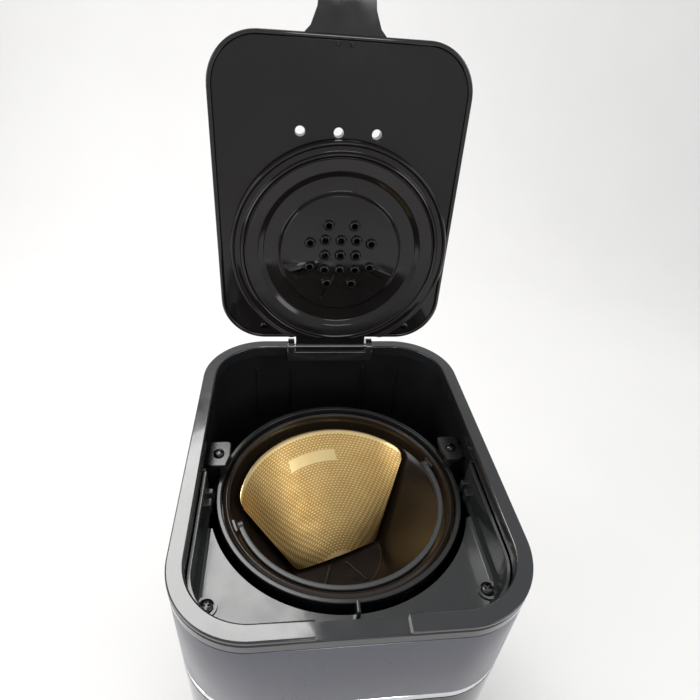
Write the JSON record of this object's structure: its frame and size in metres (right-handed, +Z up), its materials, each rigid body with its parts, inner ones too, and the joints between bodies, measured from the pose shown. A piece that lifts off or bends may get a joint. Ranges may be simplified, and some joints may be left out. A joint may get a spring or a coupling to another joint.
{
  "type": "drip coffee maker",
  "caption": "Drip coffee maker with its lid open: lift-out basket with a folding bail, gold mesh filter, rear water tank, glass carafe on a warming plate.",
  "frame": {"origin": "on the table, under the middle of the part's box with the lid open", "axes": "+X to the part's left as it faces the user (the right of a front view), +Y to the back, +Z up"},
  "size_m": [0.2, 0.2592, 0.5816],
  "materials": {
    "gloss_black": "glossy",
    "satin_black": "satin",
    "deck_black": "semi-gloss",
    "front_metal": "fine satin",
    "bright_trim": "polished",
    "gold_mesh": "gold-toned perforated sheet",
    "rubber_black": "matt",
    "plain_steel": "zinc plated",
    "plate_enamel": "non-stick coating",
    "clear_glass": "clear",
    "clear_plastic": "clear",
    "dark_lens": "tinted",
    "circuit_board": "solder mask",
    "silicone": "translucent"
  },
  "bodies": {
    "housing": {"base_plate": "satin_black", "base_screw_1": "plain_steel", "base_screw_2": "plain_steel", "base_screw_3": "plain_steel", "base_screw_4": "plain_steel", "basket_holder": "satin_black", "check_valve": "silicone", "control_board": "circuit_board", "control_panel": "gloss_black", "deck_insert": "deck_black", "deck_screw_l": "plain_steel", "deck_screw_r": "plain_steel", "display_lens": "dark_lens", "ear_screw_l": "plain_steel", "ear_screw_r": "plain_steel", "foot_1": "rubber_black", "foot_2": "rubber_black", "foot_3": "rubber_black", "foot_4": "rubber_black", "front_fascia": "front_metal", "heater_clamp": "plain_steel", "heater_tube": "plain_steel", "hinge_pin_l": "plain_steel", "hinge_pin_r": "plain_steel", "inlet_hose": "silicone", "main_housing": "gloss_black", "plate_gasket": "rubber_black", "power_board": "circuit_board", "power_gland": "rubber_black", "rim_bezel": "gloss_black", "riser_hose": "silicone", "tank_liner": "satin_black", "thermal_fuse": "silicone", "thermostat": "silicone", "trim_band": "bright_trim", "valve_seal": "rubber_black", "valve_spring": "plain_steel", "warming_plate": "plate_enamel", "water_window": "clear_plastic"},
    "lid": {"lid_shell": "gloss_black", "lid_liner": "gloss_black", "shower_plate": "gloss_black", "lid_channel": "satin_black", "lid_screw_l": "plain_steel", "lid_screw_r": "plain_steel"},
    "basket": {"filter_basket": "satin_black"},
    "bail": {"basket_bail": "satin_black"},
    "filter": {"mesh_filter": "gold_mesh"},
    "valve": {"valve_stem": "satin_black"},
    "carafe": {"carafe_glass": "clear_glass", "carafe_collar": "gloss_black", "carafe_handle": "gloss_black", "carafe_band": "bright_trim", "carafe_lid": "gloss_black"},
    "button_1": {"button_1": "satin_black"},
    "button_2": {"button_2": "satin_black"},
    "button_3": {"button_3": "satin_black"},
    "button_4": {"button_4": "satin_black"}
  },
  "joints": [
    {"name": "lid_hinge", "type": "hinge", "parent": "housing", "child": "lid", "pos_m": [0, 0.11003, 0.3326], "axis": [-1, 0, 0], "range_deg": [-93, 0]},
    {"name": "basket_lift", "type": "slide", "parent": "housing", "child": "basket", "axis": [0, 0, 1], "range_m": [0, 0.12]},
    {"name": "bail_hinge", "type": "hinge", "parent": "basket", "child": "bail", "pos_m": [0, -0.01196, 0.29], "axis": [-0.9426, -0.3338, 0], "range_deg": [0, 90]},
    {"name": "filter_lift", "type": "slide", "parent": "basket", "child": "filter", "axis": [0, 0, 1], "range_m": [0, 0.09]},
    {"name": "valve_slide", "type": "slide", "parent": "housing", "child": "valve", "axis": [0, 0, 1], "range_m": [0, 0.003], "stiffness_N_per_m": 150, "springref_m": -0.003, "deforming": ["valve_spring"]},
    {"name": "carafe_slide", "type": "slide", "parent": "housing", "child": "carafe", "axis": [0, -1, 0], "range_m": [0, 0.2]},
    {"name": "button_1_press", "type": "slide", "parent": "housing", "child": "button_1", "axis": [0, 1, 0], "range_m": [0, 0.0012], "stiffness_N_per_m": 300, "springref_m": -0.0005},
    {"name": "button_2_press", "type": "slide", "parent": "housing", "child": "button_2", "axis": [0, 1, 0], "range_m": [0, 0.0012], "stiffness_N_per_m": 300, "springref_m": -0.0005},
    {"name": "button_3_press", "type": "slide", "parent": "housing", "child": "button_3", "axis": [0, 1, 0], "range_m": [0, 0.0012], "stiffness_N_per_m": 300, "springref_m": -0.0005},
    {"name": "button_4_press", "type": "slide", "parent": "housing", "child": "button_4", "axis": [0, 1, 0], "range_m": [0, 0.0012], "stiffness_N_per_m": 300, "springref_m": -0.0005}
  ]
}
